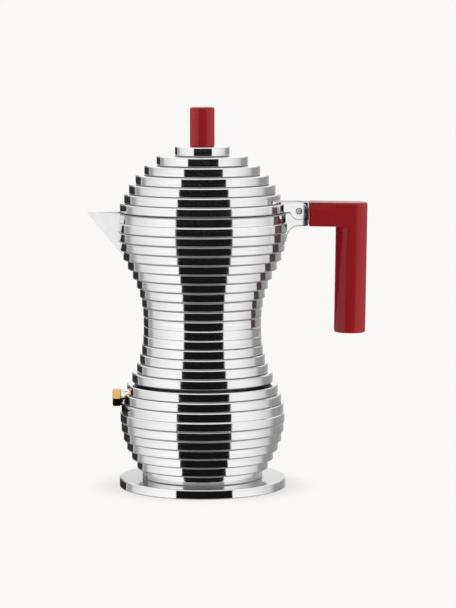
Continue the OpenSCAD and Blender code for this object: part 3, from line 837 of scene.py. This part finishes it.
boiler = new_piece("boiler", turned_mesh("boiler", boiler_profile()), castings)
boss = cylinder_between("boss", (boss_root, 0, valve_z), (washer_high.x, 0, valve_z), boss_radius)
combine(boiler, boss, "UNION")
drill(boiler, (boss_root + 3 * wall, 0, valve_z), (valve_low.x, 0, valve_z), shank_radius)
settle(shade(boiler), "boiler", "polished_aluminium", "boiler_shell")
print("boiler faces:", len(boiler.data.polygons), "valve shank radius", round(shank_radius / MM, 2))

# %% [markdown]
# ## The screw thread
# The model's neck and bore are plain, so the thread is made here. Both threads climb with the lead
# of the model's own screw joint. The ridge on the neck and the ridge in the collector's bore keep a
# little clear of each other, and so never meet at any angle of the joint.

# %% Threads
collector_points = points_of("collector_shell")
bore_radius = inner_radius(collector_points, skirt_z)
plate_low, plate_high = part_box("filter_plate")
bore_root = bore_radius + 0.5 * MM
thread_inset = 1.6 * MM, 1.5 * MM


def helix_ridge(name, root, crest, low, high, turn_steps=96):
    """A triangular ridge that climbs round the Z axis and runs out to nothing at both ends."""
    start, end = low + thread_inset[0], high - thread_inset[1]
    turns = (end - start) / thread_lead
    steps = int(turns * turn_steps)
    half = 0.30 * thread_lead
    vertices = []
    for k in range(steps + 1):
        t = k / steps
        a = 2 * math.pi * turns * t
        z = start + (end - start) * t
        grown = min(1, 6 * t * turns, 6 * (1 - t) * turns)
        top = root + (crest - root) * grown
        for r, dz in ((root, -half), (top, -half / 4), (top, half / 4), (root, half)):
            vertices.append((r * math.cos(a), r * math.sin(a), z + dz))
    faces = [(i, i + 1, i + 5, i + 4) for k in range(steps) for i in range(4 * k, 4 * k + 3)]
    mesh = mesh_of(name, vertices, faces)
    if crest < root:
        mesh.flip_normals()
    return shade(new_piece(name, mesh, [finishes["dull_thread"]]), 60)


male = helix_ridge("neck_thread", neck_radius - thread_depth, neck_radius, ledge_z, rim_z)
settle(male, "boiler", "polished_aluminium")
female = helix_ridge("bore_thread", bore_root, bore_radius + 0.02 * MM, skirt_z, plate_low.z)
settle(female, "collector", "polished_aluminium")
print("thread turns:", round((rim_z - ledge_z) / thread_lead, 1))

# %% [markdown]
# ## The collector
# The upper casting has eighteen rings, a V-shaped spout on one side and the handle's bracket on the
# other. The turning is made first. The spout is a solid beak, joined on and then hollowed by the
# same shape moved inwards, which also cuts the notch that the coffee pours through.

# %% Collector turning
column_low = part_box("riser_column")[0]
spigot_radius = max(from_axis(p) for p in vertices_of("riser_column") if p.z < column_low.z + 0.1 * MM)
plate_radius = plate_high.y + 0.3 * MM
floor_z, dish_z = (max(z for r, z in collector_points if abs(r - radius) < 0.1 * MM)
                   for radius in (spigot_radius, plate_radius))


def collector_profile():
    """The collector from its mouth down the rings, up through the skirt's bore, and up the hollow."""
    # the top round of the first ring takes the corner finish: painted shade in the gap under the lid
    points = ring_profile(collector_radii, mouth_z, PAINTED_SHADE)
    points[-1] = (*points[-1][:2], THREAD)
    points += [(bore_root, skirt_z, THREAD), (bore_root, plate_low.z, INSIDE),
               (plate_radius, plate_low.z, INSIDE), (plate_radius, dish_z, INSIDE),
               (spigot_radius, column_low.z, INSIDE), (spigot_radius, floor_z, INSIDE)]
    rings = int((mouth_z - floor_z) / ring_height - 0.5)
    heights = [mouth_z - i * ring_height for i in range(rings, 0, -1)]
    hollow = [(inner_radius(collector_points, z), z) for z in heights]
    mouth = inner_radius(collector_points, mouth_z)
    points += softened([(hollow[0][0] - wall, floor_z), *hollow, (mouth, mouth_z - 0.4 * MM)], INSIDE)
    points.append((mouth + 0.4 * MM, mouth_z, POLISHED))
    return points


collector = new_piece("collector", turned_mesh("collector", collector_profile()), castings)
print("collector floor in mm:", round(floor_z / MM, 2), "spigot", round(spigot_radius / MM, 2))

# %% Spout
spout_drop = 23 * MM
spout_half = math.radians(27)
spout_wall = 1.8 * MM
spout_start = -35 * MM
spout_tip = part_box("collector_shell")[0].x
keel_end = -collector_radii[4] - 0.02 * MM
keel_slope = spout_drop / (keel_end - spout_tip)


def spout_wedge(name, inset, above, root_x):
    """A V-shaped wedge under the spout's keel line; inset moves its walls inwards."""
    tip = spout_tip + inset / math.sin(spout_half) - above / keel_slope
    high = mouth_z + above
    spread = (root_x - tip) * math.tan(spout_half)
    corners = [(tip, 0, high), (root_x, spread, high), (root_x, -spread, high),
               (root_x, 0, high - (root_x - tip) * keel_slope)]
    mesh = mesh_of(name, corners, [(0, 2, 1), (0, 1, 3), (0, 3, 2), (1, 2, 3)])
    mesh.polygons.foreach_set("material_index", [SATIN] * 4)
    return new_piece(name, mesh, castings)


combine(collector, spout_wedge("beak", 0, 0, keel_end + 2 * MM), "UNION")
print("spout tip at", round(spout_tip / MM, 2), "keel slope", round(keel_slope, 2))

# %% [markdown]
# ## The bracket and the hinge
# The bracket is a slab with a round gusset below it. Its top turns round the hinge pin, and a
# thinner tongue at its end goes into the handle. The spout is hollowed only now, so that nothing
# fills it again, and the pin's and the screw's holes are drilled last.

# %% Bracket and hinge sizes
bracket_points = [p for p in vertices_of("collector_shell") if p.x > pin_x]
bracket_top = max(p.z for p in bracket_points)
bracket_foot = min(p.z for p in bracket_points)
bracket_half = max(p.y for p in bracket_points)
bracket_end = max(p.x for p in bracket_points if p.z > bracket_top - 0.1 * MM)
tongue_points = [p for p in bracket_points if p.x > bracket_end + 1 * MM]
tongue_low, tongue_high = min(p.z for p in tongue_points), max(p.z for p in tongue_points)
tongue_end = max(p.x for p in tongue_points)
pin_radius = (pin_high.x - pin_low.x) / 2
pin_play = 0.05 * MM
pin_reach = pin_high.y + 1 * MM
knuckle_radius = bracket_top - pin_z
gusset_radius = 6.5 * MM
print("knuckle radius", round(knuckle_radius / MM, 2), "bracket half width", round(bracket_half / MM, 2))


# %% Outlines and drills for the bracket
def knuckle_arc(start, end, step=5):
    """Outline points round the hinge pin."""
    count = abs(end - start) // step
    return [(pin_x + knuckle_radius * out, pin_z + knuckle_radius * up)
            for out, up in (spoke(start + (end - start) * k / count) for k in range(count + 1))]


def bracket_outline():
    """The bracket seen from the side, from its top end round the pin, down the rings and back."""
    gusset_x = collector_radii[2] + gusset_radius
    gusset_z = bracket_foot - gusset_radius
    gusset = [(gusset_x + gusset_radius * out, gusset_z + gusset_radius * up)
              for out, up in (spoke(a) for a in range(180, 89, -6))]
    root = collector_radii[0] - 1.6 * MM
    return [(bracket_end, bracket_top), *knuckle_arc(90, 180), (pin_x - knuckle_radius, mouth_z),
            (root, mouth_z), (root, gusset_z), *gusset, (bracket_end, bracket_foot)]


def upright_box(x_low, x_high, z_low, z_high):
    """The outline of a plain box."""
    return [(x_low, z_low), (x_high, z_low), (x_high, z_high), (x_low, z_high)]


def drill_for_pin(piece):
    """The hole that the hinge pin goes through."""
    drill(piece, (pin_x, -pin_reach, pin_z), (pin_x, pin_reach, pin_z), pin_radius + pin_play)


def drill_for_screw(piece, low, high, radius):
    """An upright hole on the axis of the handle's screw."""
    drill(piece, (screw_x, 0, low), (screw_x, 0, high), radius)


# %% Bracket
screw_low, screw_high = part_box("handle_screw")
screw_x = (screw_low.x + screw_high.x) / 2
screw_points = [(math.hypot(p.x - screw_x, p.y), p.z) for p in vertices_of("handle_screw")]
screw_shank = min(r for r, z in screw_points if z > screw_high.z - 0.1 * MM and r > 1 * MM)
screw_head_top = max(z for r, z in screw_points if r > screw_shank + 0.5 * MM)

combine(collector, slab("bracket", bracket_outline(), -bracket_half, bracket_half, 0.5 * MM), "UNION")
tongue = upright_box(bracket_end - 1 * MM, tongue_end, tongue_low, tongue_high)
combine(collector, slab("tongue", tongue, -bracket_half, bracket_half, 0), "UNION")
combine(collector, spout_wedge("channel", spout_wall, 5 * MM, keel_end + 12 * MM), "DIFFERENCE")
drill_for_pin(collector)
drill_for_screw(collector, bracket_foot - 1 * MM, tongue_high + 1 * MM, screw_shank + 0.05 * MM)
print("bracket from", round(bracket_foot / MM, 2), "to", round(bracket_top / MM, 2))


# %% Rim of the spout
def on_spout_rim(edge):
    """Level edges at the mouth's height, outside the rings, on the spout's side."""
    a, b = (v.co for v in edge.verts)
    level = abs(a.z - mouth_z) < 1e-6 and abs(b.z - mouth_z) < 1e-6
    outside = min(from_axis(a), from_axis(b)) > collector_radii[0] - 0.2 * MM
    return level and outside and max(a.x, b.x) < spout_start and edge.calc_face_angle(0) > 0.4


def round_edges(piece, chosen, width, segments=3):
    """Rounds the edges that a test picks out."""
    bm = bmesh.new()
    bm.from_mesh(piece.data)
    picked = [e for e in bm.edges if len(e.link_faces) == 2 and chosen(e)]
    bmesh.ops.bevel(bm, geom=picked, offset=width, segments=segments, profile=0.5, affect="EDGES",
                    clamp_overlap=True, material=-1)
    bm.to_mesh(piece.data)
    bm.free()
    return len(picked)


rim_count = round_edges(collector, on_spout_rim, 0.35 * MM)
settle(shade(collector), "collector", "polished_aluminium", "collector_shell")
print("spout rim edges rounded:", rim_count, "faces", len(collector.data.polygons))

# %% [markdown]
# ## The lid
# Seven rings, hollow inside, with a hole for the knob's screw and two leaves that reach round the
# hinge pin on both sides of the bracket. A shallow recess in each leaf frames the end of the pin.

# %% Lid
lid_points = points_of("lid_shell")
lid_z = min(z for r, z in lid_points)
lid_hole = inner_radius(lid_points, crown_z)
crown_floor = max(z for r, z in lid_points if r < lid_hole + 0.1 * MM and z < crown_z - 1 * MM)
leaf_sides = [p.y for p in vertices_of("lid_shell") if p.x > pin_x and p.y > 0]
leaf_inner, leaf_outer = min(leaf_sides), max(leaf_sides)
leaf_edge, recess = 0.45 * MM, 0.4 * MM


def lid_profile():
    """The lid from its top hole down the rings, and up inside. Its last edge ends at its own foot."""
    outside = ring_profile(lid_radii, crown_z)
    lift = lid_z - (crown_z - LID_RINGS * ring_height)
    last_edge = ARC_STEPS + 2
    outside[-last_edge:] = [(r, z + lift, k) for r, z, k in outside[-last_edge:]]
    heights = [crown_z - u * ring_height for u in range(LID_RINGS - 1, 1, -1)]
    hollow = [(inner_radius(lid_points, z), z) for z in heights]
    rim = inner_radius(lid_points, lid_z)
    roof = (lid_radii[0] - wall, crown_floor)
    return [(lid_hole, crown_z, POLISHED), *outside, (rim + 0.4 * MM, lid_z, INSIDE),
            *softened([(rim, lid_z + 0.4 * MM), *hollow, roof, (lid_hole, crown_floor)], INSIDE)]


def leaf_outline():
    """A leaf seen from the side, round the pin and back into the lid."""
    root = lid_radii[-1] - wall
    return [(root, bracket_top), *knuckle_arc(90, -165), (pin_x - knuckle_radius, lid_z), (root, lid_z)]


lid = new_piece("lid", turned_mesh("lid", lid_profile()), castings)
for name, low, high in (("leaf_near", -leaf_outer, -leaf_inner), ("leaf_far", leaf_inner, leaf_outer)):
    combine(lid, slab(name, leaf_outline(), low, high, leaf_edge), "UNION")
drill_for_pin(lid)
# the recess walls take the corner finish: painted shade round the end of the pin
for side in (-1, 1):
    drill(lid, (pin_x, side * (leaf_outer - recess), pin_z), (pin_x, side * 2 * leaf_outer, pin_z),
          pin_radius + 0.5 * MM, PAINTED_SHADE)
settle(shade(lid), "lid", "polished_aluminium", "lid_shell")
print("lid faces:", len(lid.data.polygons), "lid bottom", round(lid_z / MM, 2))

# %% [markdown]
# ## The handle
# The handle is one moulding. Its arm is as wide as the round grip, so its flat sides run on into the
# grip without an edge. It is built as a stack of outlines from the top down, each point of the
# arm's outline going on to the point of the grip that lies on the same ray from the grip's axis.
# The real one leans a little, so it is measured and built upright, and leaned at the end.

# %% Handle sizes
handle_tilt = math.radians(0.8)
tongue_mid = (tongue_low + tongue_high) / 2
pivot = Vector((handle_low.x + math.sin(handle_tilt) * (bracket_top - tongue_mid), 0, tongue_mid))
untilt = Matrix.Translation(pivot) @ Matrix.Rotation(-handle_tilt, 4, "Y") @ Matrix.Translation(-pivot)
straight = [untilt @ p for p in vertices_of("handle")]
handle_start = min(p.x for p in straight)
handle_top, handle_foot = max(p.z for p in straight), min(p.z for p in straight)
grip_radius = max(p.y for p in straight)
grip_x = max(p.x for p in straight) - grip_radius
arm_bottom = min(p.z for p in straight if p.x < grip_x - grip_radius - 1 * MM)
print("handle leans by", round(math.degrees(handle_tilt), 2), "degrees, arm from", round(arm_bottom / MM, 2),
      "to", round(handle_top / MM, 2))


# %% Outlines of the handle
def arm_outline(corner=1.3 * MM, side_steps=24):
    """Points of the arm seen from above, from the grip's axis, each with its outward direction."""
    half = grip_radius
    inner = handle_start - grip_x + corner
    side = [inner * k / side_steps for k in range(1, side_steps)]
    points = [(half * c, half * s, c, s) for c, s in (spoke(a) for a in range(-90, 91, 3))]
    points += [(x, half, 0, 1) for x in side]
    for sign, start in ((1, 90), (-1, 180)):
        points += [(inner + corner * c, sign * (half - corner) + corner * s, c, s)
                   for c, s in (spoke(start + 15 * k) for k in range(7))]
    return points + [(x, -half, 0, -1) for x in reversed(side)]


def handle_column(x, y, nx, ny, edge=1.0 * MM, low_edge=0.6 * MM, fillet=1.0 * MM):
    """Points straight down the handle: the top edge, the arm's lower edge, the fillet, the foot."""
    quarter = [spoke(15 * k) for k in range(7)]
    far = math.hypot(x, y)
    rx, ry = x / far, y / far
    spare = min(1, max(0, far - grip_radius) / (low_edge + fillet))
    low, fill = low_edge * spare, fillet * spare
    insets = [(edge * (1 - s), handle_top - edge * (1 - c)) for c, s in quarter]
    insets += [(low * (1 - c), arm_bottom + low * (1 - s)) for c, s in quarter]
    radii = [(grip_radius + fill * (1 - s), arm_bottom - fill * (1 - c)) for c, s in quarter]
    radii += [(grip_radius - edge * (1 - c), handle_foot + edge * (1 - s)) for c, s in quarter]
    return [(grip_x + x - nx * inset, y - ny * inset, z) for inset, z in insets] \
        + [(grip_x + rx * r, ry * r, z) for r, z in radii]


def handle_mesh():
    """The stack of outlines as a closed mesh, leaned like the real handle."""
    columns = [handle_column(*point) for point in arm_outline()]
    rows, count = len(columns[0]), len(columns)
    vertices = [column[i] for i in range(rows) for column in columns]
    faces = [tuple(range(count)), tuple(range(rows * count - 1, (rows - 1) * count - 1, -1))]
    for i in range(rows - 1):
        for k in range(count):
            n = (k + 1) % count
            faces.append((i * count + k, (i + 1) * count + k, (i + 1) * count + n, i * count + n))
    return outward(mesh_of("handle_mesh", vertices, faces), 1e-7, untilt.inverted())


# %% Handle
handle = new_piece("red_handle", handle_mesh(), [red_plastic])
side_play, height_play = 0.15 * MM, 0.2 * MM
socket = upright_box(handle_start - 1 * MM, tongue_end + 0.3 * MM, tongue_low - height_play,
                     tongue_high + height_play)
combine(handle, slab("socket", socket, -bracket_half - side_play, bracket_half + side_play, 0), "DIFFERENCE")
drill_for_screw(handle, arm_bottom - 2 * MM, tongue_mid, screw_shank + 0.1 * MM)
drill_for_screw(handle, arm_bottom - 2 * MM, screw_head_top, screw_high.y + 0.2 * MM)
settle(shade(handle, 50), "collector", "red_plastic", "handle")
print("handle faces:", len(handle.data.polygons), "grip radius", round(grip_radius / MM, 2))

# %% [markdown]
# ## Knob, gasket and hinge pin
# The remaining round parts are turned from the same lathe code, now with their own edges. The pin is
# turned upright, and then laid across the hinge.

# %% Knob
knob_low, knob_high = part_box("knob")
insert_low, insert_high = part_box("knob_insert")


def knob_profile(rounding=1.1 * MM, foot=0.3 * MM):
    """A plain cylinder with a round top edge, and a blind hole for the threaded insert."""
    radius, height = knob_high.y, knob_high.z - knob_low.z
    hole, depth = insert_high.y, insert_high.z - insert_low.z
    points = [(hole, 0, 0), *arc(radius - foot, foot, foot, -90, 0, 0),
              *arc(radius - rounding, height - rounding, rounding, 0, 90, 0, 10),
              (0, height, 0), (0, depth, 0), (hole, depth, 0)]
    return points[::-1]


def turned_piece(name, profile, segments, material, matrix=Matrix()):
    """A turned piece of one finish, moved to its place."""
    mesh = turned_mesh(name, profile, segments)
    mesh.transform(matrix)
    return shade(new_piece(name, mesh, [material]), 40)


knob = turned_piece("red_knob", knob_profile(), 128, red_plastic, Matrix.Translation((0, 0, knob_low.z)))
settle(knob, "lid", "red_plastic", "knob")
print("knob height in mm:", round((knob_high.z - knob_low.z) / MM, 2))


# %% Gasket
def rounded_loop(corners, edge, steps=4):
    """A closed profile with every corner rounded by a cut of the given length."""
    points = []
    corners = [Vector(corner) for corner in corners]
    for before, here, after in zip(corners[-1:] + corners[:-1], corners, corners[1:] + corners[:1]):
        cut = min(edge, (before - here).length * 0.45, (after - here).length * 0.45)
        a, b = here + (before - here).normalized() * cut, here + (after - here).normalized() * cut
        for k in range(steps + 1):
            t = k / steps
            p = a * (1 - t) ** 2 + here * 2 * t * (1 - t) + b * t ** 2
            points.append((p.x, p.y, 0))
    return points


gasket_low, gasket_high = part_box("gasket")
gasket_inner = min(from_axis(p) for p in vertices_of("gasket"))
section = [(gasket_inner, gasket_high.z), (gasket_high.y, gasket_high.z),
           (gasket_high.y, gasket_low.z), (gasket_inner, gasket_low.z)]
gasket = turned_piece("gasket_ring", rounded_loop(section, 0.5 * MM), 160, silicone)
settle(gasket, "seal", "silicone", "gasket")
print("gasket inner radius in mm:", round(gasket_inner / MM, 2))

# %% Hinge pin
pin_tip = 0.3 * MM
pin_half = pin_high.y
# a small dimple in each end: distance from the axis and depth
DIMPLE = [(0, 0.25 * MM), (0.45 * MM, 0.25 * MM), (0.6 * MM, 0)]
pin_profile = [(r, pin_half - depth, 0) for r, depth in DIMPLE]
pin_profile += arc(pin_radius - pin_tip, pin_half - pin_tip, pin_tip, 90, 0, 0)
pin_profile += arc(pin_radius - pin_tip, -pin_half + pin_tip, pin_tip, 0, -90, 0)
pin_profile += [(r, -pin_half + depth, 0) for r, depth in DIMPLE[::-1]]
across = Matrix.Translation((pin_x, 0, pin_z)) @ Matrix.Rotation(math.pi / 2, 4, "X")
pin = turned_piece("pin", pin_profile, 48, steel, across)
settle(pin, "collector", "steel", "hinge_pin")
print("hinge pin radius in mm:", round(pin_radius / MM, 2))

# %% [markdown]
# ## Parts kept from the model
# The valve, the perforated plates, the column and the screws already have their true shape. They
# get a finish, smooth shading and a fine round on their edges.

# %% Dress the model's own parts
sheet = finishes["sheet_aluminium"]
# node, finish, and how far its edges are rounded, in mm
DRESSED = [
    ("valve_body", brass, 0.25), ("valve_washer", finishes["soft_copper"], 0.1), ("valve_seal", silicone, 0),
    ("valve_plunger", brass, 0.1), ("valve_spring", steel, 0), ("valve_retainer", brass, 0.08),
    ("funnel", sheet, 0.12), ("funnel_sieve", sheet, 0), ("filter_plate", sheet, 0),
    ("riser_column", finishes["cast_aluminium"], 0.3), ("handle_screw", steel, 0.15),
    ("knob_insert", brass, 0), ("knob_screw", steel, 0.15), ("knob_washer", steel, 0.12),
]


def dress(node, material, edge, angle=35):
    """Gives one of the model's parts its finish and soft edges."""
    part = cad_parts[node]
    part.data.materials.clear()
    part.data.materials.append(material)
    smooth_shading(part.data, angle)
    if edge:
        soften_edges(part, edge * MM, angle).harden_normals = True


for row in DRESSED:
    dress(*row)
print("dressed nodes:", len(DRESSED))
